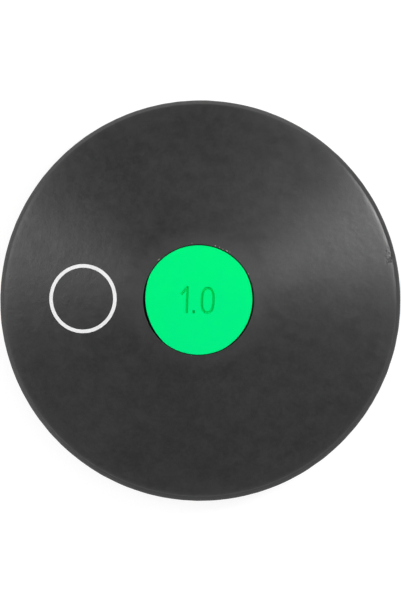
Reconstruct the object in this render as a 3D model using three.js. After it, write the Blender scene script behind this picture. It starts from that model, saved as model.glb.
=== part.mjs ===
// A 1 kg discus of moulded rubber, for practice on grass or hard ground. Millimetres, +Z up.
//
// The discus lies flat. Its origin is the centre of its lower face, and +Z is the axis it spins about.
//
// The body is one rubber moulding with a bore through the middle and a round recess in each face.
// A turned steel core in the bore brings it to its weight. A plastic plate closes each end: its
// flange is glued to the floor of the recess, flush with the rubber, and a short spigot behind it
// reaches into the bore and holds the core. Both faces are alike, so every outline is drawn once,
// for the upper half, and mirrored in the middle plane.

import * as THREE from "three";

// Overall sizes, as the sport measures them
const OVERALL_DIAMETER = 181;
const CENTRE_THICKNESS = 38;
const RIM_THICKNESS = 12.5;
const RIM_GAUGE_INSET = 6; // the rim's thickness is taken this far in from the edge

// Flat centre of the face, and its run into the slope
const FLAT_BORDER_WIDTH = 0.1; // the flat ring of rubber round the mouth of the recess
const FLAT_FILLET_RADIUS = 2;

// Rounded edge
const CURL_RADIUS = 18; // the slope curls over a little just inside the face's corner
const CURL_WIDTH = 2.2;
const EDGE_BULGE = 1.95; // how far the edge stands out past the face's corner
const MOULD_LINE_HEIGHT = 0.25; // trimmed flash where the two halves of the mould met
const MOULD_LINE_WIDTH = 0.8;
const MOULD_LINE_CREST = 0.3;

// Recess and bore in the rubber
const PLATE_GAP = 0.3; // all round, between the plate and the recess
const RECESS_MOUTH_ROUND = 0.3;
const LEDGE_WIDTH = 2.5; // floor of the recess, between its wall and the bore
const BORE_CHAMFER = 0.3;

// Centre plate
const PLATE_DIAMETER = 49;
const PLATE_THICKNESS = 3;
const PLATE_EDGE_ROUND = 0.4;
const SPIGOT_LENGTH = 2.5;
const SPIGOT_WALL = 2.5;
const SPIGOT_CLEARANCE = 0.3;
const SPIGOT_CHAMFER = 0.4;

// Glue under the flange
const GLUE_THICKNESS = 0.4;
const GLUE_SETBACK = 0.2; // how far it stops short of the plate's edge

// Steel core
const CORE_CLEARANCE = 0.3;
const CORE_CHAMFER = 1;

// Fineness of the model
const TURN_SIDES = 96;
const LARGE_ARC_SIDES = 4;
const SMALL_ARC_SIDES = 2;

// Sizes that follow. Heights are measured from the middle plane.
const faceHeight = CENTRE_THICKNESS / 2;
const crownRadius = OVERALL_DIAMETER / 2 - MOULD_LINE_HEIGHT;
const plateRadius = PLATE_DIAMETER / 2;
const recessRadius = plateRadius + PLATE_GAP;
const boreRadius = recessRadius - LEDGE_WIDTH;
const plateBack = faceHeight - PLATE_THICKNESS;
const recessFloor = plateBack - GLUE_THICKNESS;
const coreRadius = boreRadius - CORE_CLEARANCE;
const coreEnd = plateBack - SPIGOT_LENGTH;

const rubber = new THREE.MeshStandardMaterial({ color: 0x2e2e2e, roughness: 0.45, metalness: 0 });
const greenPlastic = new THREE.MeshStandardMaterial({ color: 0x02f183, roughness: 0.4, metalness: 0 });
const glue = new THREE.MeshStandardMaterial({ color: 0xc9b98a, roughness: 0.5, metalness: 0 });
const steel = new THREE.MeshStandardMaterial({ color: 0x8d9094, roughness: 0.35, metalness: 1 });

const at = (radius, height) => new THREE.Vector2(radius, height);

// Points along a profile's arc, both ends included.
function arc(centre, radius, startAngle, endAngle, sides) {
  return new THREE.EllipseCurve(centre.x, centre.y, radius, radius, startAngle, endAngle).getPoints(sides);
}

// The lower half of a profile, in the order that leads into its upper half.
function mirrored(profile) {
  return profile.map((point) => at(point.x, -point.y)).reverse();
}

// Turns a profile of radius and height about the axis. With the axis on its left, the profile runs
// counterclockwise, so that the faces look outwards.
function turned(profile) {
  return new THREE.LatheGeometry(profile, TURN_SIDES).rotateX(Math.PI / 2);
}

// The body's upper half, from the mould line over the edge and the face, and down into the bore.
function bodyProfile() {
  const mouth = at(recessRadius + RECESS_MOUTH_ROUND, faceHeight - RECESS_MOUTH_ROUND);

  // The slope is the line that touches the fillet and passes where the rim's thickness is gauged.
  const fillet = at(mouth.x + FLAT_BORDER_WIDTH, faceHeight - FLAT_FILLET_RADIUS);
  const gauge = at(OVERALL_DIAMETER / 2 - RIM_GAUGE_INSET, RIM_THICKNESS / 2);
  const across = gauge.clone().sub(fillet);
  const slope = Math.atan2(across.x, across.y) - Math.acos(FLAT_FILLET_RADIUS / across.length());

  // The slope ends where it starts to curl over, and the curl ends at the face's corner.
  const cornerRadius = crownRadius - EDGE_BULGE;
  const curlStart = cornerRadius - CURL_WIDTH;
  const curlHeight = gauge.y + (gauge.x - curlStart) * Math.tan(slope);
  const curl = at(curlStart - CURL_RADIUS * Math.sin(slope), curlHeight - CURL_RADIUS * Math.cos(slope));
  const curlEnd = Math.acos((cornerRadius - curl.x) / CURL_RADIUS);
  const cornerHeight = curl.y + CURL_RADIUS * Math.sin(curlEnd);

  // The edge is one arc through the corners of both faces, with its crown on the middle plane.
  const edgeRadius = (cornerHeight ** 2 + EDGE_BULGE ** 2) / (2 * EDGE_BULGE);

  return [
    at(OVERALL_DIAMETER / 2, MOULD_LINE_CREST / 2),
    ...arc(
      at(crownRadius - edgeRadius, 0), edgeRadius,
      Math.asin(MOULD_LINE_WIDTH / 2 / edgeRadius), Math.asin(cornerHeight / edgeRadius), LARGE_ARC_SIDES,
    ),
    ...arc(curl, CURL_RADIUS, curlEnd, Math.PI / 2 - slope, LARGE_ARC_SIDES).slice(1),
    ...arc(fillet, FLAT_FILLET_RADIUS, Math.PI / 2 - slope, Math.PI / 2, SMALL_ARC_SIDES),
    ...arc(mouth, RECESS_MOUTH_ROUND, Math.PI / 2, Math.PI, SMALL_ARC_SIDES),
    at(recessRadius, recessFloor),
    at(boreRadius + BORE_CHAMFER, recessFloor),
    at(boreRadius, recessFloor - BORE_CHAMFER),
  ];
}

function bodyGeometry() {
  const upper = bodyProfile();
  const lower = mirrored(upper);
  return turned([...lower, ...upper, lower[0]]);
}

// The upper plate, from the axis out along its back and in again over its face.
function plateProfile() {
  const spigotOuter = boreRadius - SPIGOT_CLEARANCE;
  const spigotInner = spigotOuter - SPIGOT_WALL;
  const edge = at(plateRadius - PLATE_EDGE_ROUND, faceHeight - PLATE_EDGE_ROUND);
  return [
    at(0, plateBack),
    at(spigotInner, plateBack),
    at(spigotInner, coreEnd),
    at(spigotOuter - SPIGOT_CHAMFER, coreEnd),
    at(spigotOuter, coreEnd + SPIGOT_CHAMFER),
    at(spigotOuter, plateBack),
    at(plateRadius, plateBack),
    ...arc(edge, PLATE_EDGE_ROUND, 0, Math.PI / 2, SMALL_ARC_SIDES),
    at(0, faceHeight),
  ];
}

// The upper ring of glue, between the flange and the floor of the recess.
function glueProfile() {
  const inner = boreRadius + BORE_CHAMFER;
  const outer = plateRadius - GLUE_SETBACK;
  return [
    at(inner, recessFloor),
    at(outer, recessFloor),
    at(outer, plateBack),
    at(inner, plateBack),
    at(inner, recessFloor),
  ];
}

function coreGeometry() {
  const upper = [
    at(coreRadius, coreEnd - CORE_CHAMFER),
    at(coreRadius - CORE_CHAMFER, coreEnd),
    at(0, coreEnd),
  ];
  return turned([...mirrored(upper), ...upper]);
}

const discus = new THREE.Group();
discus.position.z = faceHeight;

function addPiece(name, geometry, material) {
  const piece = new THREE.Mesh(geometry, material);
  piece.name = name;
  discus.add(piece);
}

addPiece("rubber_body", bodyGeometry(), rubber);
addPiece("core_weight", coreGeometry(), steel);
addPiece("upper_glue_layer", turned(glueProfile()), glue);
addPiece("lower_glue_layer", turned(mirrored(glueProfile())), glue);
addPiece("upper_center_plate", turned(plateProfile()), greenPlastic);
addPiece("lower_center_plate", turned(mirrored(plateProfile())), greenPlastic);

export default discus;
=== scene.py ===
# A 1 kg discus of moulded rubber, lying on its lower face. Metres, +Z up.
#
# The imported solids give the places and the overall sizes. The rubber body and the two centre plates
# are turned again here with a finer outline and their wear, and the printed ring and the crumbs of
# glue are added. The weight and the two glue layers inside keep their solids.

import math
import random

import bpy
from mathutils import Matrix, Vector, noise


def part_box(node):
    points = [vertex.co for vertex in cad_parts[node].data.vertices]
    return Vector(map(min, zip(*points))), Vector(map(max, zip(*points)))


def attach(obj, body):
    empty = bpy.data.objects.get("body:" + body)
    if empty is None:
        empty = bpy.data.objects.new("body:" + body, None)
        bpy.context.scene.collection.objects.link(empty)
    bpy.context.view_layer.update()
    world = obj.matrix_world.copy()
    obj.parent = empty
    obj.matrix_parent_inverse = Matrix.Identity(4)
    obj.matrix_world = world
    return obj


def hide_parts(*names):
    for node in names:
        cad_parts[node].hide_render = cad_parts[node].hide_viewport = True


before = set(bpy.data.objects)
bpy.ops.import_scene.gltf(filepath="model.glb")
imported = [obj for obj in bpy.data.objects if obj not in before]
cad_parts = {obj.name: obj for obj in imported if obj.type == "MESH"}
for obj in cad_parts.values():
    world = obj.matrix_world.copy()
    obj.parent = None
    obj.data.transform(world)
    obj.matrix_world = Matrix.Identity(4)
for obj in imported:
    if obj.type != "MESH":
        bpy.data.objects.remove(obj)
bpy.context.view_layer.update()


# Rubber body
#
# One moulding of black rubber, pressed in a two-part mould that parts at the widest line. Its faces
# slope from a flat centre to a rounded edge. Each face has a round recess for its plate, and a bore
# joins the two recesses. One side of the edge is nicked and scuffed where it has hit the ground.

RIM_THICKNESS = 0.0125
RIM_GAUGE_INSET = 0.006  # the rim's thickness is taken this far in from the edge
EASE_DROP = 0.00025  # the slope is gentler near the recess, which lowers its start by this much
EASE_REACH = 0.0115
EASE_POWER = 2
CURL_DROP = 0.00012  # just inside the face's corner the slope curls over, by this much at the corner
CURL_REACH = 0.0032
CURL_POWER = 4
CORNER_ROUND = 0.00011
EDGE_BULGE = 0.00184  # how far the edge stands out past the face's corner
MOULD_LINE_HEIGHT = 0.00025
MOULD_LINE_WIDTH = 0.0008
MOULD_LINE_CREST = 0.0003
RECESS_RADIUS = 0.0248
RECESS_DEPTH = 0.0034
RECESS_MOUTH_ROUND = 0.00012
MOUTH_LAND = 0.00008  # a narrow ring round the mouth, which keeps its rounding from spreading
BORE_RADIUS = 0.0223
BORE_CHAMFER = 0.0003

BODY_SIDES = 384
EDGE_RINGS = 16
CURL_RINGS = 10
SLOPE_RINGS = 22
EASE_RINGS = 10
CORNER_STEPS = 5
MOUTH_RINGS = 5
WELD_DISTANCE = 0.00001
SHARP_ANGLE = math.radians(20)  # facets that meet at more than this keep a crease

body_low, body_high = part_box("rubber_body")
overall_radius = body_high.x
middle_height = (body_low.z + body_high.z) / 2
face_height = body_high.z - middle_height  # above the middle plane, like every height in a section
crown_radius = overall_radius - MOULD_LINE_HEIGHT


def arc(centre, radius, start, end, rings):
    """Points of a section along an arc, both ends included. x is the radius and y the height."""
    angles = [start + (end - start) * k / rings for k in range(rings + 1)]
    return [centre + radius * Vector((math.cos(a), math.sin(a))) for a in angles]


def spread(start, end, rings):
    """Radii spaced evenly from start, and stopping one step short of end."""
    return [start + (end - start) * k / rings for k in range(rings)]


def mirrored(section):
    """The lower half of a section, in the order that leads into its upper half."""
    return [Vector((point.x, -point.y)) for point in reversed(section)]


def turn(name, section, sides):
    """Draws a section edge by edge and spins it about Z into a closed body."""
    bpy.ops.object.select_all(action="DESELECT")
    first = section[0]
    bpy.ops.mesh.primitive_plane_add(size=WELD_DISTANCE, location=(first.x, 0, middle_height + first.y))
    piece = bpy.context.object
    piece.name = name
    bpy.ops.object.transform_apply(location=True, rotation=False, scale=False)
    bpy.ops.object.mode_set(mode="EDIT")
    bpy.ops.mesh.select_mode(type="VERT")
    bpy.ops.mesh.select_all(action="SELECT")
    bpy.ops.mesh.merge(type="CENTER")
    for here, there in zip(section, section[1:]):
        step = there - here
        bpy.ops.mesh.extrude_vertices_move(TRANSFORM_OT_translate={"value": (step.x, 0, step.y)})
    bpy.ops.mesh.select_all(action="SELECT")
    bpy.ops.mesh.spin(steps=sides, angle=math.tau, center=(0, 0, 0), axis=(0, 0, 1))
    bpy.ops.mesh.select_all(action="SELECT")
    bpy.ops.mesh.remove_doubles(threshold=WELD_DISTANCE)
    bpy.ops.mesh.normals_make_consistent(inside=False)
    bpy.ops.object.mode_set(mode="OBJECT")
    return piece


def select_parts(piece, kind, chosen):
    """Opens a piece in edit mode with only the chosen faces or edges selected."""
    bpy.ops.object.select_all(action="DESELECT")
    piece.select_set(True)
    bpy.context.view_layer.objects.active = piece
    bpy.ops.object.mode_set(mode="EDIT")
    bpy.ops.mesh.select_mode(type=kind)
    bpy.ops.mesh.select_all(action="DESELECT")
    bpy.ops.object.mode_set(mode="OBJECT")
    for part in piece.data.polygons if kind == "FACE" else piece.data.edges:
        part.select = chosen(part)
    bpy.ops.object.mode_set(mode="EDIT")


def finish_shading(piece):
    """Smooths a piece, with a crease where its facets meet at a sharp angle, and leaves it selected."""
    bpy.ops.object.select_all(action="DESELECT")
    piece.select_set(True)
    bpy.context.view_layer.objects.active = piece
    bpy.ops.object.shade_smooth_by_angle(angle=SHARP_ANGLE)


# The slope runs from the mouth of the recess to where the rim's thickness is gauged.
upright = math.pi / 2
recess_floor = face_height - RECESS_DEPTH
mouth_centre = Vector((RECESS_RADIUS + RECESS_MOUTH_ROUND, face_height - RECESS_MOUTH_ROUND))
gauge_point = Vector((overall_radius - RIM_GAUGE_INSET, RIM_THICKNESS / 2))
slope = math.atan2(face_height + EASE_DROP - gauge_point.y, gauge_point.x - mouth_centre.x)
corner_radius = crown_radius - EDGE_BULGE
curl_start = corner_radius - CURL_REACH
ease_end = mouth_centre.x + EASE_REACH


def face_at(radius):
    """Height of the face at a radius: a straight slope, eased at its start and curled over at its end."""
    straight = gauge_point.y + (gauge_point.x - radius) * math.tan(slope)
    eased = max(0, (ease_end - radius) / EASE_REACH)
    curled = max(0, (radius - curl_start) / CURL_REACH)
    return straight - EASE_DROP * eased ** EASE_POWER - CURL_DROP * curled ** CURL_POWER


# The edge is one arc through the corners of both faces, with its crown on the middle plane.
corner_height = face_at(corner_radius)
edge_radius = (corner_height ** 2 + EDGE_BULGE ** 2) / (2 * EDGE_BULGE)
edge_centre = Vector((crown_radius - edge_radius, 0))
edge_start = math.asin(MOULD_LINE_WIDTH / 2 / edge_radius)
edge_end = math.asin(corner_height / edge_radius)

face_radii = [
    *spread(corner_radius, curl_start, CURL_RINGS)[1:],
    *spread(curl_start, ease_end, SLOPE_RINGS),
    *spread(ease_end, mouth_centre.x + MOUTH_LAND, EASE_RINGS),
    mouth_centre.x + MOUTH_LAND,
]
upper_half = [
    Vector((overall_radius, MOULD_LINE_CREST / 2)),
    *arc(edge_centre, edge_radius, edge_start, edge_end, EDGE_RINGS),
    *[Vector((radius, face_at(radius))) for radius in face_radii],
    *arc(mouth_centre, RECESS_MOUTH_ROUND, upright, math.pi, MOUTH_RINGS),
    Vector((RECESS_RADIUS, recess_floor)),
    Vector((BORE_RADIUS + BORE_CHAMFER, recess_floor)),
    Vector((BORE_RADIUS, recess_floor - BORE_CHAMFER)),
]
lower_half = mirrored(upper_half)
body = turn("rubber_body_moulding", [*lower_half, *upper_half, lower_half[0]], BODY_SIDES)


def off_corner(place):
    """Distance from a place on the body to the corner of the nearer face."""
    return Vector((place.xy.length - corner_radius, abs(place.z - middle_height) - corner_height)).length


def on_corner(edge):
    """Whether an edge of the body runs along the corner of a face."""
    return max(off_corner(body.data.vertices[k].co) for k in edge.vertices) < WELD_DISTANCE


select_parts(body, "EDGE", on_corner)
bpy.ops.mesh.bevel(offset=CORNER_ROUND, segments=CORNER_STEPS, affect="EDGES")
bpy.ops.object.mode_set(mode="OBJECT")

# Flash on the mould line, trimmed by hand, so its crest comes and goes.
FLASH_LEAST_SHARE = 0.35
FLASH_WAVES = 260  # per metre

for vertex in body.data.vertices:
    place = vertex.co
    if abs(place.z - middle_height) < MOULD_LINE_CREST:
        ripple = 0.5 + 0.5 * noise.noise(place * FLASH_WAVES)
        share = FLASH_LEAST_SHARE + (1 - FLASH_LEAST_SHARE) * ripple
        radius = crown_radius + MOULD_LINE_HEIGHT * min(1, share)
        around = math.atan2(place.y, place.x)
        place.x = radius * math.cos(around)
        place.y = radius * math.sin(around)

# The two halves of a mould never meet quite true, so the upper face's corner lies a little to one
# side. The flat centre stays where it is, as the plate's recess does.
CORNER_SHIFT = Vector((0.00015, 0.0002, 0))
SHIFT_START_RADIUS = 0.06

for vertex in body.data.vertices:
    up_edge = (vertex.co.z - middle_height) / corner_height
    along_slope = (vertex.co.xy.length - SHIFT_START_RADIUS) / (corner_radius - SHIFT_START_RADIUS)
    vertex.co += CORNER_SHIFT * max(0, min(1, up_edge, along_slope))

# The nick in the upper edge, in a patch of scuffed rubber, with a groove and small pits beside it.
# Places are seen from above. The faces there are cut finer first.
PATCH_MIDDLE = Vector((0.0855, 0.021))
PATCH_REACH = 0.0078
PATCH_CUTS = 9
PATCH_LEAST_HEIGHT = 0.001  # above the middle plane: the lower face isn't marked
MARKS = (  # x, y, reach and depth of each. A burr stands proud, so its depth is below zero.
    (0.0866, 0.0199, 0.0007, 0.0007),
    (0.085, 0.027, 0.0006, 0.0003),
    (0.0864, 0.019, 0.0005, -0.0003),
    (0.0859, 0.0173, 0.0006, 0.00016),
    (0.0846, 0.0236, 0.0004, 0.00007),
    (0.0851, 0.0211, 0.0005, 0.00011),
    (0.0837, 0.0219, 0.0005, 0.00008),
)
GROOVE_START = Vector((0.0862, 0.0188))
GROOVE_END = Vector((0.0846, 0.0179))
GROOVE_HALF_WIDTH = 0.00045
GROOVE_DEPTH = 0.00016
SCUFF_MIDDLE = Vector((0.0858, 0.0185))
SCUFF_REACH = 0.0032
SCUFF_DEPTH = 0.00009
SCUFF_WAVES = 1100  # per metre
RAGGED_SHARE = 0.35  # how much the noise widens or narrows a mark
ROUGH_OCTAVES = 3

half_step = math.pi / BODY_SIDES


def in_patch(face):
    """Whether a face lies near the nick, on the upper side."""
    near = (face.center.xy - PATCH_MIDDLE).length < PATCH_REACH
    return near and face.center.z > middle_height + PATCH_LEAST_HEIGHT


def off_segment(point, start, end):
    """Distance from a point to a line segment, seen from above."""
    along = end - start
    share = max(0, min(1, (point - start).dot(along) / along.length_squared))
    return (point - start.lerp(end, share)).length


def bowl(distance, reach, depth):
    """Depth of a round-bottomed mark at a distance from its middle."""
    return depth * max(0, 1 - (distance / reach) ** 2)


def rough_noise(place, waves):
    """Noise at a place, in octaves that are each half as wide and half as high as the one before."""
    return noise.fractal(place * waves, 1, 2, ROUGH_OCTAVES)


def depth_of_marks(place):
    """How far the marks sink the rubber at a place."""
    rough = rough_noise(place, SCUFF_WAVES)
    ragged = 1 + RAGGED_SHARE * rough
    depth = 0
    for x, y, reach, deep in MARKS:
        depth += bowl((place.xy - Vector((x, y))).length, reach * ragged, deep)
    off_groove = off_segment(place.xy, GROOVE_START, GROOVE_END)
    depth += bowl(off_groove, GROOVE_HALF_WIDTH * ragged, GROOVE_DEPTH)
    return depth + rough * bowl((place.xy - SCUFF_MIDDLE).length, SCUFF_REACH, SCUFF_DEPTH)


select_parts(body, "FACE", in_patch)
bpy.ops.mesh.subdivide(number_cuts=PATCH_CUTS)
bpy.ops.object.mode_set(mode="OBJECT")
outward = [vertex.normal.copy() for vertex in body.data.vertices]
for vertex, normal in zip(body.data.vertices, outward):
    place = vertex.co.copy()
    if (place.xy - PATCH_MIDDLE).length > PATCH_REACH or place.z < middle_height + PATCH_LEAST_HEIGHT:
        continue
    off_facet_middle = math.atan2(place.y, place.x) % (2 * half_step) - half_step
    swell = math.cos(off_facet_middle) / math.cos(half_step)  # from the flat facet to the true round
    round_place = Vector((place.x * swell, place.y * swell, place.z))
    vertex.co = round_place - normal * depth_of_marks(place)

# Moulded rubber is never quite even, so the faces wave a little.
UNEVEN_HEIGHT = 0.000015
UNEVEN_WAVES = 75  # per metre
EVEN_RADIUS = 0.027  # true up to here, where the plate has to lie flush

for vertex in body.data.vertices:
    if vertex.co.xy.length > EVEN_RADIUS:
        vertex.co.z += UNEVEN_HEIGHT * noise.noise(vertex.co * UNEVEN_WAVES)

finish_shading(body)


class Wire:
    """An output in a material's node tree. Arithmetic on wires and numbers adds Math nodes."""

    def __init__(self, tree, socket=None):
        self.tree = tree
        self.socket = socket

    def node(self, kind, settings=None, inputs=None, output=0):
        """Adds a node with its settings, then its inputs as values or links, and returns an output."""
        added = self.tree.nodes.new(kind)
        for name, value in (settings or {}).items():
            setattr(added, name, value)
        for name, value in (inputs or {}).items():
            if isinstance(value, Wire):
                self.tree.links.new(value.socket, added.inputs[name])
            else:
                added.inputs[name].default_value = value
        return Wire(self.tree, added.outputs[output] if len(added.outputs) else None)

    def math(self, operation, *others):
        """Adds a Math node on this value and any others."""
        return self.node("ShaderNodeMath", {"operation": operation}, dict(enumerate((self, *others))))

    def __add__(self, other):
        return self.math("ADD", other)

    def __mul__(self, other):
        return self.math("MULTIPLY", other)

    __radd__ = __add__
    __rmul__ = __mul__

    def noise(self, waves, detail=2, roughness=0.6):
        """Noise at this position, with its waves per metre. Its values lie mostly from 0.3 to 0.7."""
        inputs = {"Vector": self, "Scale": waves, "Detail": detail, "Roughness": roughness}
        return self.node("ShaderNodeTexNoise", None, inputs)

    def ramp(self, low, high, to_low=0, to_high=1):
        """A smooth step of this value, from to_low at low to to_high at high."""
        settings = {"interpolation_type": "SMOOTHSTEP"}
        inputs = {"Value": self, "From Min": low, "From Max": high, "To Min": to_low, "To Max": to_high}
        return self.node("ShaderNodeMapRange", settings, inputs)

    def mix(self, first, second):
        """The first colour where this value is 0, and the second where it is 1."""
        settings = {"data_type": "RGBA", "clamp_factor": True}
        # The sockets go by number: 0 is the factor, 6 and 7 are the colours, and 2 is the result.
        return self.node("ShaderNodeMix", settings, {0: self, 6: first, 7: second}, 2)

    def vector(self, operation, other, output="Vector"):
        """Adds a Vector Math node on this vector and another."""
        return self.node("ShaderNodeVectorMath", {"operation": operation}, {0: self, 1: other}, output)

    def along(self, degrees):
        """How far this position or direction lies towards an angle in degrees round from +X."""
        toward = (math.cos(math.radians(degrees)), math.sin(math.radians(degrees)), 0)
        return self.vector("DOT_PRODUCT", toward, "Value")

    def from_axis(self):
        """Distance of this position from the Z axis."""
        return self.vector("MULTIPLY", (1, 1, 0)).vector("LENGTH", (0, 0, 0), "Value")

    def bump(self, height):
        """A normal from this relief, where 1 stands for the height in metres."""
        return self.node("ShaderNodeBump", None, {"Height": self, "Distance": height})


def new_material(name):
    """A material with an empty tree, and the wire that gives the position on the piece."""
    material = bpy.data.materials.new(name)
    material.use_nodes = True
    material.node_tree.nodes.clear()
    return material, Wire(material.node_tree).node("ShaderNodeTexCoord", output="Object")


def shade(wire, inputs):
    """Adds the Principled shader and the output that end a material."""
    shader = wire.node("ShaderNodeBsdfPrincipled", None, inputs)
    wire.node("ShaderNodeOutputMaterial", None, {"Surface": shader})


def grey(value):
    """A neutral colour."""
    return (value, value, value, 1)


# Near-black rubber with a fine moulded grain, cloudy from handling. Round the plate and near the
# corner of the face it is painted paler, as a painted sheen.
RUBBER = grey(0.0152)
RUBBER_HANDLED_AND_LIT = grey(0.0244)
CLOUD_WAVES = 28  # per metre, like the waves that follow
MOTTLE_WAVES = 170
SMUDGE_WAVES = 200
SPECKLE_WAVES = 620
GRAIN_WAVES = 1900
GRAIN_HEIGHT = 0.000012
MOTTLE_BY_GRAIN = 6  # how many times as high as the grain
SPECKLE_BY_GRAIN = 1.5
CLOUD_SHARE = 0.3  # how far it takes the rubber to its handled colour
MOTTLE_SHARE = 0.3
SPECKLE_SHARE = 0.4
PLATE_RING_SHEEN_SHARE = 0.15
RIM_SHEEN_SHARE = 0.4
NEAR_PLATE_RADII = (0.034, 0.027)  # where it starts to show, and where it is full
RIM_SHEEN_RADII = (0.079, 0.086)

# The corner of the face is painted pale as a painted highlight, more so and in streaks towards one
# side. The edge is streaked all round, painted paler on one side as painted light, and scuffed beside
# the nick.
RUBBER_SCUFFED_AND_LIT = grey(0.1)
STREAK_WAVES = (140, 140, 1400)  # finest up the edge, so that the streaks run round it
SCUFF_WEAR_WAVES = 700
CORNER_HIGHLIGHT = 0.11  # where 1 is rubber that is scuffed all over
SIDE_CORNER_HIGHLIGHT = 0.25
STREAK_WEAR = 0.1
LIT_EDGE_SHARE = 0.31
SCUFF_WEAR = 0.3
CORNER_FACING = (0.95, 0.93)  # how far up or down the surface faces, where 1 is level
EDGE_FACING = (0.8, 0.7)
WEAR_AND_LIGHT_RADII = (0.06, 0.07)
BRIGHT_CORNER_SIDE = 232  # degrees round from +X
BRIGHT_CORNER_SPAN = (0.084, 0.087)  # how far out towards that side it starts to show, and is full
LIT_EDGE_SIDE = 135
LIT_EDGE_SPAN = (-0.02, 0.03)
SCUFF_FULL_REACH = 0.001

# The joint round the plate is painted greenish black, as painted shade.
RUBBER_SHADED_JOINT = (0.005, 0.011, 0.007, 1)
JOINT_REACH = 0.0001

# How rough the rubber is, and what is added to that. It stays above 0.274 all over: a denoiser takes
# anything smoother for a mirror, and leaves hard-edged blotches where the two meet.
RUBBER_ROUGHNESS = (0.291, 0.303)
SMUDGE_ROUGHNESS = (-0.014, 0.03)
GRIPPED_ROUGHNESS = 0.045
WEAR_ROUGHNESS = 0.3
DULL_ROUGHNESS = 0.6  # on the edge and in the joint

rubber, place = new_material("moulded_rubber")
cloud = place.noise(CLOUD_WAVES, detail=4)
mottle = place.noise(MOTTLE_WAVES, detail=3)
smudges = place.noise(SMUDGE_WAVES, detail=3)
speckle = place.noise(SPECKLE_WAVES)
grain = place.noise(GRAIN_WAVES)
streaks = place.vector("MULTIPLY", STREAK_WAVES).noise(1, detail=4, roughness=0.7)
scuffs = place.noise(SCUFF_WEAR_WAVES, detail=3, roughness=0.7).ramp(0.42, 0.62)

facing = place.node("ShaderNodeTexCoord", output="Normal")
level = place.node("ShaderNodeSeparateXYZ", None, {"Vector": facing}, "Z").math("ABSOLUTE")
outer = place.from_axis().ramp(*WEAR_AND_LIGHT_RADII)
edge = level.ramp(*EDGE_FACING)
joint = place.from_axis().ramp(RECESS_RADIUS + JOINT_REACH, RECESS_RADIUS)
near_plate = place.from_axis().ramp(*NEAR_PLATE_RADII)
painted_rim_sheen = place.from_axis().ramp(*RIM_SHEEN_RADII)
lit_edge_side = place.along(LIT_EDGE_SIDE).ramp(*LIT_EDGE_SPAN)
bright_corner_side = place.along(BRIGHT_CORNER_SIDE).ramp(*BRIGHT_CORNER_SPAN) * streaks.ramp(0.42, 0.6)
off_scuff = place.vector("DISTANCE", (*SCUFF_MIDDLE, middle_height + corner_height), "Value")

handled_and_sheen = cloud.ramp(0.35, 0.7) * CLOUD_SHARE + mottle.ramp(0.4, 0.65) * MOTTLE_SHARE
handled_and_sheen = handled_and_sheen + speckle.ramp(0.35, 0.65) * SPECKLE_SHARE
# Round the plate and near the corner of the face the rubber is painted paler: a painted sheen.
handled_and_sheen = handled_and_sheen + near_plate * PLATE_RING_SHEEN_SHARE + painted_rim_sheen * RIM_SHEEN_SHARE
# Painted highlight: the corner of the face is painted paler, more so towards one side.
wear_and_light = level.ramp(*CORNER_FACING) * outer * (bright_corner_side * SIDE_CORNER_HIGHLIGHT + CORNER_HIGHLIGHT)
# Real streaks of wear on the edge, and painted light: one side of the edge is painted paler.
wear_and_light = wear_and_light + edge * outer * (streaks.ramp(0.5, 0.7) * STREAK_WEAR + lit_edge_side * LIT_EDGE_SHARE)
wear_and_light = wear_and_light + off_scuff.ramp(SCUFF_REACH, SCUFF_FULL_REACH) * scuffs * SCUFF_WEAR
# In the joint round the plate the rubber is painted greenish black as painted shade.
color = joint.mix(wear_and_light.mix(handled_and_sheen.mix(RUBBER, RUBBER_HANDLED_AND_LIT), RUBBER_SCUFFED_AND_LIT), RUBBER_SHADED_JOINT)

roughness = cloud.ramp(0.3, 0.7, *RUBBER_ROUGHNESS) + near_plate * GRIPPED_ROUGHNESS
roughness = roughness + smudges.ramp(0.35, 0.65, *SMUDGE_ROUGHNESS)
roughness = roughness + wear_and_light * WEAR_ROUGHNESS + edge.math("MAXIMUM", joint) * DULL_ROUGHNESS
relief = grain + mottle * MOTTLE_BY_GRAIN + speckle * SPECKLE_BY_GRAIN + streaks * wear_and_light
shade(place, {
    "Base Color": color,
    "Roughness": roughness,
    "Normal": relief.bump(GRAIN_HEIGHT),
})

body.data.materials.append(rubber)
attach(body, "root")
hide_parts("rubber_body")


# Weight
#
# A turned steel slug in the bore brings the discus to its weight. It isn't seen once the plates are
# on. Its solid stays, with the fine rings that the lathe left.

STEEL = (0.42, 0.43, 0.45, 1)
STEEL_STAINED = (0.27, 0.26, 0.25, 1)
STEEL_ROUGHNESS = (0.3, 0.45)
STAIN_WAVES = 120  # per metre
LATHE_MARKS = 9000  # radians per metre
LATHE_MARK_HEIGHT = 0.00002

steel, place = new_material("turned_steel")
tool_marks = (place.from_axis() * LATHE_MARKS).math("SINE") * 0.5 + 0.5
stain = place.noise(STAIN_WAVES, detail=4)
shade(place, {
    "Base Color": stain.ramp(0.4, 0.7).mix(STEEL, STEEL_STAINED),
    "Metallic": 1,
    "Roughness": stain.ramp(0.3, 0.7, *STEEL_ROUGHNESS),
    "Normal": tool_marks.bump(LATHE_MARK_HEIGHT),
})
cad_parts["core_weight"].material_slots[0].material = steel


# Glue layers
#
# A ring of cured adhesive holds each plate's flange to the floor of its recess. Both rings lie
# hidden under the flanges, but for their rims in the joint, which are painted greenish black as
# painted shade. Their solids stay.

GLUE = (0.55, 0.46, 0.31, 1)
GLUE_DARK = (0.33, 0.26, 0.17, 1)
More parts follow.
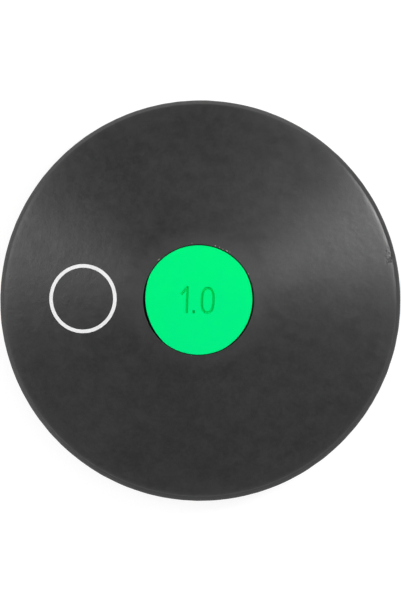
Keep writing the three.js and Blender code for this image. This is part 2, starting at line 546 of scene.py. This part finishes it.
# Painted shade for the rim in the joint.
GLUE_SHADED = (0.006, 0.012, 0.008, 1)
GLUE_SHADED_RADII = (0.0225, 0.0232)  # where it starts to show, and where it is full
GLUE_ROUGHNESS = (0.35, 0.55)
GLUE_RIM_ROUGHNESS = 0.4
GLUE_REFLECTION = 0.1  # where 0.5 is usual
GLUE_WAVES = 1500  # per metre
GLUE_LUMP_HEIGHT = 0.00005

glue, place = new_material("cured_glue")
lumps = place.noise(GLUE_WAVES, detail=3)
glue_rim = place.from_axis().ramp(*GLUE_SHADED_RADII)
shade(place, {
    # The rim in the joint is painted greenish black, as painted shade.
    "Base Color": glue_rim.mix(lumps.ramp(0.35, 0.7).mix(GLUE, GLUE_DARK), GLUE_SHADED),
    "Roughness": lumps.ramp(0.3, 0.7, *GLUE_ROUGHNESS) + glue_rim * GLUE_RIM_ROUGHNESS,
    "Specular IOR Level": GLUE_REFLECTION,
    "Normal": lumps.bump(GLUE_LUMP_HEIGHT),
})
for node in ("upper_glue_layer", "lower_glue_layer"):
    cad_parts[node].material_slots[0].material = glue


# Centre plates
#
# A bright green moulded plastic disc closes each face, flush with the rubber. A spigot behind it
# reaches into the bore and holds the weight. A plain number is sunk into its face. Where the plate was
# trimmed from its sprue, on both sides, its edge is pared back and the joint opens.

PARED = (  # the middle and the reach of each stretch in degrees round from +X, and its depth
    (193, 40, 0.00078),
    (345, 48, 0.00045),
)
PARED_ALL_ROUND = 0.00006
PLATE_THICKNESS = 0.003
PLATE_EDGE_ROUND = 0.0003
SPIGOT_LENGTH = 0.0025
SPIGOT_WALL = 0.0025
SPIGOT_CLEARANCE = 0.0003
SPIGOT_CHAMFER = 0.0004
PLATE_SIDES = 256
PLATE_EDGE_RINGS = 6
LEVEL_FACING = 0.9  # a face that looks up or down by more than this is level, where 1 is fully so

plate_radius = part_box("upper_center_plate")[1].x
plate_back = face_height - PLATE_THICKNESS
spigot_end = plate_back - SPIGOT_LENGTH
spigot_outer = BORE_RADIUS - SPIGOT_CLEARANCE
spigot_inner = spigot_outer - SPIGOT_WALL
plate_edge = Vector((plate_radius - PLATE_EDGE_ROUND, face_height - PLATE_EDGE_ROUND))

plate = turn("upper_plate_moulding", [
    Vector((0, plate_back)),
    Vector((spigot_inner, plate_back)),
    Vector((spigot_inner, spigot_end)),
    Vector((spigot_outer - SPIGOT_CHAMFER, spigot_end)),
    Vector((spigot_outer, spigot_end + SPIGOT_CHAMFER)),
    Vector((spigot_outer, plate_back)),
    Vector((plate_radius, plate_back)),
    *arc(plate_edge, PLATE_EDGE_ROUND, 0, upright, PLATE_EDGE_RINGS),
    Vector((0, face_height)),
], PLATE_SIDES)


def in_fan(face):
    """Whether a face of the plate is one of the slivers that meet at the axis."""
    return face.center.xy.length < spigot_inner and abs(face.normal.z) > LEVEL_FACING


# The slivers round the axis become one flat face in front and one behind.
select_parts(plate, "FACE", in_fan)
bpy.ops.mesh.dissolve_faces()
bpy.ops.object.mode_set(mode="OBJECT")

for vertex in plate.data.vertices:
    flat = vertex.co.xy
    if flat.length > BORE_RADIUS:
        around = math.degrees(math.atan2(flat.y, flat.x))
        pared = PARED_ALL_ROUND
        for middle, reach, depth in PARED:
            pared += bowl((around - middle + 180) % 360 - 180, reach, depth)
        vertex.co.xy = flat * (1 - pared / plate_radius)

# The number, sunk in with round-bottomed strokes. Places are seen from above, from the axis.
STROKE_WIDTH = 0.00125
STROKE_DEPTH = 0.0014
NUMBER_HEIGHT = 0.0122
NUMBER_TURN = math.radians(-2)
ONE_STEM = -0.0051
ONE_FLAG_REACH = 0.0024
ONE_FLAG_DROP = 0.0028
POINT_PLACE = -0.0020
ZERO_PLACE = 0.0041
ZERO_WIDTH = 0.0064
STROKE_SEGMENTS = 24
STROKE_RINGS = 16
ZERO_STEPS = 20  # in each quarter
ZERO_BEVEL_STEPS = 6

stroke_top = (NUMBER_HEIGHT - STROKE_WIDTH) / 2  # at the middle of a stroke
point_length = STROKE_WIDTH / 4  # between the middles of its two round ends
surface_height = middle_height + face_height


def cut_stroke(start, end):
    """A round-ended rod that cuts a straight stroke: a ball, whose far half is drawn out."""
    along = end - start
    bpy.ops.object.select_all(action="DESELECT")
    bpy.ops.mesh.primitive_uv_sphere_add(
        segments=STROKE_SEGMENTS,
        ring_count=STROKE_RINGS,
        radius=STROKE_WIDTH / 2,
    )
    rod = bpy.context.object
    for vertex in rod.data.vertices:
        vertex.co = Vector((vertex.co.z, vertex.co.x, vertex.co.y))  # turns its poles from Z to X
    for vertex in rod.data.vertices:
        vertex.select = vertex.co.x > WELD_DISTANCE
        if vertex.select:
            vertex.co.x += along.length
    rod.rotation_euler.z = math.atan2(along.y, along.x)
    rod.location = (start.x, start.y, 0)
    bpy.ops.object.transform_apply(location=True, rotation=True, scale=False)
    return rod


stem_top = Vector((ONE_STEM, stroke_top))
cutters = [
    cut_stroke(Vector((ONE_STEM, -stroke_top)), stem_top),
    cut_stroke(stem_top, stem_top - Vector((ONE_FLAG_REACH, ONE_FLAG_DROP))),
    cut_stroke(Vector((POINT_PLACE, -stroke_top)), Vector((POINT_PLACE, point_length - stroke_top))),
]
bpy.ops.object.select_all(action="DESELECT")
bpy.ops.curve.primitive_bezier_circle_add(radius=1)
zero = bpy.context.object
bpy.ops.object.mode_set(mode="EDIT")
bpy.ops.curve.select_all(action="SELECT")
bpy.ops.transform.resize(value=((ZERO_WIDTH - STROKE_WIDTH) / 2, stroke_top, 1), center_override=(0, 0, 0))
bpy.ops.object.mode_set(mode="OBJECT")
zero.data.resolution_u = ZERO_STEPS
zero.data.bevel_depth = STROKE_WIDTH / 2
zero.data.bevel_resolution = ZERO_BEVEL_STEPS
bpy.ops.object.convert(target="MESH")
zero = bpy.context.object
zero.location.x = ZERO_PLACE
bpy.ops.object.transform_apply(location=True, rotation=False, scale=False)
cutters.append(zero)

for cutter in cutters:
    cutter.select_set(True)
bpy.context.view_layer.objects.active = zero
bpy.ops.object.join()
number_cutter = bpy.context.object
bpy.ops.object.mode_set(mode="EDIT")
bpy.ops.mesh.select_all(action="SELECT")
bpy.ops.mesh.remove_doubles(threshold=WELD_DISTANCE)
bpy.ops.mesh.normals_make_consistent(inside=False)
bpy.ops.object.mode_set(mode="OBJECT")
number_cutter.scale.z = STROKE_DEPTH / (STROKE_WIDTH / 2)
number_cutter.location.z = surface_height
number_cutter.rotation_euler.z = NUMBER_TURN
bpy.ops.object.transform_apply(location=True, rotation=True, scale=True)

bpy.ops.object.select_all(action="DESELECT")
plate.select_set(True)
bpy.context.view_layer.objects.active = plate
sunk = plate.modifiers.new("number", "BOOLEAN")
sunk.operation = "DIFFERENCE"
sunk.solver = "EXACT"
sunk.use_self = True
sunk.object = number_cutter
bpy.ops.object.modifier_apply(modifier=sunk.name)
bpy.data.objects.remove(number_cutter)
finish_shading(plate)

# The lower plate is the same moulding, turned over about X.
bpy.ops.object.duplicate(linked=False)
lower_plate = bpy.context.object
lower_plate.name = "lower_plate_moulding"
lower_plate.rotation_euler.x = math.pi
lower_plate.location.z = 2 * middle_height
bpy.ops.object.transform_apply(location=True, rotation=True, scale=False)

# Bright green plastic with the soft sheen of a spark-eroded mould, clouded a little bluer and darker at
# random, and a little dirty at its edge. Towards one side it is painted darker and bluer, as painted shade.
PLATE_GREEN = (0.0003, 0.775, 0.173, 1)
PLATE_BLUER_AND_SHADED = (0.0005, 0.703, 0.206, 1)
PLATE_DIRT = (0.02, 0.30, 0.10, 1)
PLATE_ROUGHNESS = (0.52, 0.6)
PLATE_REFLECTION = 0.008  # where 0.5 is usual
PLATE_CLOUD_WAVES = 60  # per metre, like the waves that follow
PLATE_BLOTCH_WAVES = 150
PLATE_DIRT_WAVES = 420
PLATE_GRAIN_WAVES = 2600
PLATE_GRAIN_HEIGHT = 0.000006
PLATE_SHADED_SIDE = 280  # degrees round from +X
PLATE_SHADED_SPAN = (-0.03, 0.03)  # how far out towards that side it starts to show, and is full
PLATE_SIDE_SHADE_SHARE = 0.5
BLUISH_CLOUD_SHARE = 0.3
BLUISH_BLOTCH_SHARE = 0.2
DIRT_RADII = (0.0236, 0.0249)
DIRT_SHARE = 0.5
DIRT_ROUGHNESS = 0.2

plate_plastic, place = new_material("green_plastic")
cloud = place.noise(PLATE_CLOUD_WAVES, detail=4)
blotch = place.noise(PLATE_BLOTCH_WAVES, detail=3)
specks = place.noise(PLATE_DIRT_WAVES, detail=4, roughness=0.7)
grain = place.noise(PLATE_GRAIN_WAVES)
dirt = place.from_axis().ramp(*DIRT_RADII) * specks.ramp(0.5, 0.75)
# Painted shade: towards one side the plate is painted darker and bluer.
bluish_and_shaded = place.along(PLATE_SHADED_SIDE).ramp(*PLATE_SHADED_SPAN) * PLATE_SIDE_SHADE_SHARE
bluish_and_shaded = bluish_and_shaded + cloud.ramp(0.3, 0.7) * BLUISH_CLOUD_SHARE + blotch.ramp(0.3, 0.7) * BLUISH_BLOTCH_SHARE
shade(place, {
    "Base Color": (dirt * DIRT_SHARE).mix(bluish_and_shaded.mix(PLATE_GREEN, PLATE_BLUER_AND_SHADED), PLATE_DIRT),
    "Roughness": cloud.ramp(0.3, 0.7, *PLATE_ROUGHNESS) + dirt * DIRT_ROUGHNESS,
    "Specular IOR Level": PLATE_REFLECTION,
    "Normal": grain.bump(PLATE_GRAIN_HEIGHT),
})
for piece, node in ((plate, "upper_center_plate"), (lower_plate, "lower_center_plate")):
    piece.data.materials.append(plate_plastic)
    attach(piece, "root")
    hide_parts(node)


# Glue crumbs
#
# Glue squeezed out of the joint when the upper plate was pressed home. It has dried in small tan
# crumbs along the plate's upper edge, partly in the joint and partly on the rubber.

CRUMB_ANGLES = (28, 44, 57, 60, 65, 68, 72, 96, 134)  # degrees round from +X, as they are scattered
CRUMB_SCATTER = 1  # degrees to either side
CRUMB_LEAST_RADIUS = 0.00014
CRUMB_MOST_RADIUS = 0.00033
CRUMB_RING_RADIUS = 0.0254
CRUMB_SPREAD = 0.0003
CRUMB_OUTWARD = (0.7, 1)  # the least and the most that it is stretched outwards from the axis
CRUMB_AROUND = (1.2, 1.9)
CRUMB_UPWARD = (0.6, 0.9)
CRUMB_WAVES = 1800  # per metre
CRUMB_LUMP_SHARE = 0.5
CRUMB_CUTS = 4
CRUMB_SEED = 7
CRUMB_TAN = (0.27, 0.25, 0.195, 1)
CRUMB_DUSTY = (0.15, 0.145, 0.115, 1)
CRUMB_ROUGHNESS = (0.5, 0.7)

draw = random.Random(CRUMB_SEED)
crumbs = []
for degrees in CRUMB_ANGLES:
    around = math.radians(degrees + draw.uniform(-CRUMB_SCATTER, CRUMB_SCATTER))
    radius = CRUMB_RING_RADIUS + draw.uniform(-CRUMB_SPREAD, CRUMB_SPREAD)
    size = draw.uniform(CRUMB_LEAST_RADIUS, CRUMB_MOST_RADIUS)
    bpy.ops.object.select_all(action="DESELECT")
    bpy.ops.mesh.primitive_ico_sphere_add(subdivisions=CRUMB_CUTS, radius=size)
    crumb = bpy.context.object
    own_noise = Vector((radius * degrees, 0, 0))  # each crumb takes its noise from another place
    for vertex in crumb.data.vertices:
        vertex.co *= 1 + CRUMB_LUMP_SHARE * rough_noise(vertex.co + own_noise, CRUMB_WAVES)
    crumb.scale = (draw.uniform(*CRUMB_OUTWARD), draw.uniform(*CRUMB_AROUND), draw.uniform(*CRUMB_UPWARD))
    crumb.rotation_euler.z = around
    crumb.location = (radius * math.cos(around), radius * math.sin(around), surface_height)
    bpy.ops.object.transform_apply(location=True, rotation=True, scale=True)
    crumbs.append(crumb)
for crumb in crumbs:
    crumb.select_set(True)
bpy.ops.object.join()
crumbs = bpy.context.object
crumbs.name = "glue_crumbs"
finish_shading(crumbs)

dried_glue, place = new_material("dried_glue")
lumps = place.noise(GLUE_WAVES, detail=3)
shade(place, {
    "Base Color": lumps.ramp(0.35, 0.7).mix(CRUMB_TAN, CRUMB_DUSTY),
    "Roughness": lumps.ramp(0.3, 0.7, *CRUMB_ROUGHNESS),
    "Normal": lumps.bump(GLUE_LUMP_HEIGHT),
})
crumbs.data.materials.append(dried_glue)
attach(crumbs, "root")


# Printed ring
#
# A plain white ring of ink, printed on the slope of the upper face with a pad. It is a thin skin
# that follows the rubber under it.

RING_RADIUS = 0.01549
RING_STRETCH = 1.014  # the pad drew the print out a little down the slope
RING_LINE = 0.0016
RING_FROM_AXIS = 0.05204
RING_AROUND = math.radians(179.2)
RING_SIDES = 192
RING_BANDS = 4
INK_THICKNESS = 0.00006
INK_SUNK = 0.00003
INK_RAGGEDNESS = 0.00005
INK_RAGGED_WAVES = 1500  # per metre

ring_place = Vector((
    RING_FROM_AXIS * math.cos(RING_AROUND),
    RING_FROM_AXIS * math.sin(RING_AROUND),
    middle_height + face_at(RING_FROM_AXIS),
))
bpy.ops.object.select_all(action="DESELECT")
bpy.ops.mesh.primitive_circle_add(vertices=RING_SIDES, radius=RING_RADIUS)
ring = bpy.context.object
ring.name = "printed_ring"
bpy.ops.object.mode_set(mode="EDIT")
bpy.ops.mesh.select_mode(type="EDGE")
bpy.ops.mesh.select_all(action="SELECT")
band_radius = RING_RADIUS
for band in range(RING_BANDS):
    inner = band_radius - RING_LINE / RING_BANDS
    bpy.ops.mesh.extrude_edges_move(TRANSFORM_OT_translate={"value": (0, 0, 0)})
    bpy.ops.transform.resize(value=(inner / band_radius, inner / band_radius, 1), center_override=(0, 0, 0))
    band_radius = inner
bpy.ops.object.mode_set(mode="OBJECT")
for vertex in ring.data.vertices:
    outward = vertex.co.normalized()
    side = 1 if vertex.co.length > RING_RADIUS - RING_LINE / 2 else -1
    vertex.co += outward * side * INK_RAGGEDNESS * noise.noise(vertex.co * INK_RAGGED_WAVES)
ring.scale.x = RING_STRETCH
ring.rotation_euler = (0, slope, RING_AROUND)
ring.location = ring_place
bpy.ops.object.transform_apply(location=True, rotation=True, scale=True)
if ring.data.polygons[0].normal.z < 0:
    ring.data.flip_normals()

seat = ring.modifiers.new("seat", "SHRINKWRAP")
seat.wrap_method = "PROJECT"
seat.use_project_z = True
seat.use_negative_direction = True
seat.use_positive_direction = True
seat.target = body
bpy.ops.object.modifier_apply(modifier=seat.name)
skin = ring.modifiers.new("skin", "SOLIDIFY")
skin.thickness = INK_THICKNESS
skin.offset = 1 - 2 * INK_SUNK / INK_THICKNESS
bpy.ops.object.modifier_apply(modifier=skin.name)
finish_shading(ring)

INK = grey(0.75)
INK_THIN = grey(0.69)
INK_WORN = grey(0.35)
INK_ROUGHNESS = (0.4, 0.5)
INK_CLOUD_WAVES = 200  # per metre, like the waves that follow
INK_GRAIN_WAVES = 1900
INK_GRAIN_HEIGHT = 0.00001
PINHOLE_WAVES = 2200
PINHOLE_SHARE = 0.7  # how far a pinhole is worn through

ink, place = new_material("white_ink")
cloud = place.noise(INK_CLOUD_WAVES, detail=3)
grain = place.noise(INK_GRAIN_WAVES)
pinholes = place.noise(PINHOLE_WAVES, detail=3, roughness=0.7).ramp(0.68, 0.78)
shade(place, {
    "Base Color": (pinholes * PINHOLE_SHARE).mix(cloud.ramp(0.4, 0.7).mix(INK, INK_THIN), INK_WORN),
    "Roughness": cloud.ramp(0.3, 0.7, *INK_ROUGHNESS),
    "Normal": grain.bump(INK_GRAIN_HEIGHT),
})
ring.data.materials.append(ink)
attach(ring, "root")


# Floor, light and camera
#
# A plain white floor under soft studio light: a light on the right, a weaker one on the left, a faint
# one at the upper right, a dim panel overhead, and a pale sky that is dark only at its top. The camera
# looks down on the face from 1.6 m, leaning two degrees to the right and a little down.

FLOOR_SIZE = 40
FLOOR_GREY = grey(0.8)
FLOOR_SEEN_GREY = grey(0.28)
FLOOR_SEEN_GLOW = 0.8  # what the camera sees of the floor clips to white, and keeps a soft shadow

bpy.ops.object.select_all(action="DESELECT")
bpy.ops.mesh.primitive_plane_add(size=FLOOR_SIZE)
floor = bpy.context.object
floor.name = "floor"
floor_paint, place = new_material("floor_paint")
camera_ray = place.node("ShaderNodeLightPath", output="Is Camera Ray")
glossy_ray = place.node("ShaderNodeLightPath", output="Is Glossy Ray")
transmission_ray = place.node("ShaderNodeLightPath", output="Is Transmission Ray")
seen = camera_ray.math("MAXIMUM", glossy_ray).math("MAXIMUM", transmission_ray)
lit = place.node("ShaderNodeBsdfDiffuse", None, {"Color": FLOOR_GREY})
lit_less = place.node("ShaderNodeBsdfDiffuse", None, {"Color": FLOOR_SEEN_GREY})
glow = place.node("ShaderNodeEmission", None, {"Color": grey(1), "Strength": FLOOR_SEEN_GLOW})
shown = place.node("ShaderNodeAddShader", None, {0: lit_less, 1: glow})
mixed = place.node("ShaderNodeMixShader", None, {0: seen, 1: lit, 2: shown})
place.node("ShaderNodeOutputMaterial", None, {"Surface": mixed})
floor.data.materials.append(floor_paint)

SKY_ZENITH = 0.03
SKY_HORIZON = 1.0
SKY_DIMS_FROM = 0.74  # the sine of the elevation where the sky starts to dim, and where it ends
SKY_DIMS_TO = 0.875
WALL_GLOW = 0.15  # how much brighter the room's far wall is than the rest of the horizon
WALL_AROUND = 135  # degrees round from +X
WALL_SPAN = (-0.5, 1)  # how far towards the wall its glow starts, and is full
WALL_TOP = 0.5  # the sine of the elevation where its glow ends
DARK_AROUND = 95  # the side on which the sky dims lower down
DARK_SPAN = (0.25, 0.5)
DARK_LOWER = 0.05  # how much lower, as a sine

world = bpy.data.worlds.new("studio")
bpy.context.scene.world = world
world.use_nodes = True
world.node_tree.nodes.clear()
direction = Wire(world.node_tree).node("ShaderNodeTexCoord", output="Generated")
elevation = direction.node("ShaderNodeSeparateXYZ", None, {"Vector": direction}, "Z")
wall = direction.along(WALL_AROUND).ramp(*WALL_SPAN) * elevation.ramp(WALL_TOP, 0) * WALL_GLOW
dark_side = direction.along(DARK_AROUND).ramp(*DARK_SPAN) * DARK_LOWER
brightness = (elevation + dark_side).ramp(SKY_DIMS_FROM, SKY_DIMS_TO, SKY_HORIZON, SKY_ZENITH) + wall
sky = direction.node("ShaderNodeBackground", None, {"Color": grey(1), "Strength": brightness})
direction.node("ShaderNodeOutputWorld", None, {"Surface": sky})

LIGHT_DISTANCE = 1.2


def add_light(name, around, off_axis, size, power):
    """A round area light that faces the discus, at angles in degrees round it and off its axis."""
    around = math.radians(around)
    off_axis = math.radians(off_axis)
    toward = Vector((
        math.sin(off_axis) * math.cos(around),
        math.sin(off_axis) * math.sin(around),
        math.cos(off_axis),
    ))
    bpy.ops.object.light_add(type="AREA", location=toward * LIGHT_DISTANCE)
    light = bpy.context.object
    light.name = name
    light.data.shape = "DISK"
    light.data.size = size
    light.data.energy = power
    light.rotation_euler = toward.to_track_quat("Z", "Y").to_euler()
    light.visible_camera = False


add_light("right_light", around=25.5, off_axis=39.5, size=0.3, power=4.65)
add_light("left_light", around=162.5, off_axis=39.8, size=0.4, power=1.65)
add_light("corner_light", around=66, off_axis=41, size=0.3, power=0.25)
add_light("overhead_light", around=70, off_axis=4.2, size=0.7, power=2.8)

CAMERA_DISTANCE = 1.6
CAMERA_LEAN_RIGHT = math.radians(2.0)
CAMERA_LEAN_DOWN = math.radians(0.66)
CAMERA_SENSOR = 36  # millimetres, as the camera takes it
PHOTO_WIDTH = 401
PHOTO_HEIGHT = 601
DISCUS_PIXEL = Vector((199.95, 300.5))  # where the photograph shows the middle of the discus
FIELD_WIDTH = 0.1811  # what the frame's width takes in at the discus

middle = Vector((0, 0, middle_height))
back = Vector((math.tan(CAMERA_LEAN_RIGHT), -math.tan(CAMERA_LEAN_DOWN), 1)).normalized()
right = Vector((0, 1, 0)).cross(back).normalized()
up = back.cross(right)
pixel = FIELD_WIDTH / PHOTO_WIDTH
aim = middle + right * (PHOTO_WIDTH / 2 - DISCUS_PIXEL.x) * pixel
aim += up * (DISCUS_PIXEL.y - PHOTO_HEIGHT / 2) * pixel

bpy.ops.object.camera_add(location=aim + back * CAMERA_DISTANCE)
camera = bpy.context.object
camera.rotation_euler = Matrix((right, up, back)).transposed().to_euler()
camera.data.sensor_fit = "HORIZONTAL"
camera.data.sensor_width = CAMERA_SENSOR
camera.data.lens = CAMERA_SENSOR * CAMERA_DISTANCE / FIELD_WIDTH
bpy.context.scene.camera = camera
bpy.context.scene.view_settings.view_transform = "Standard"
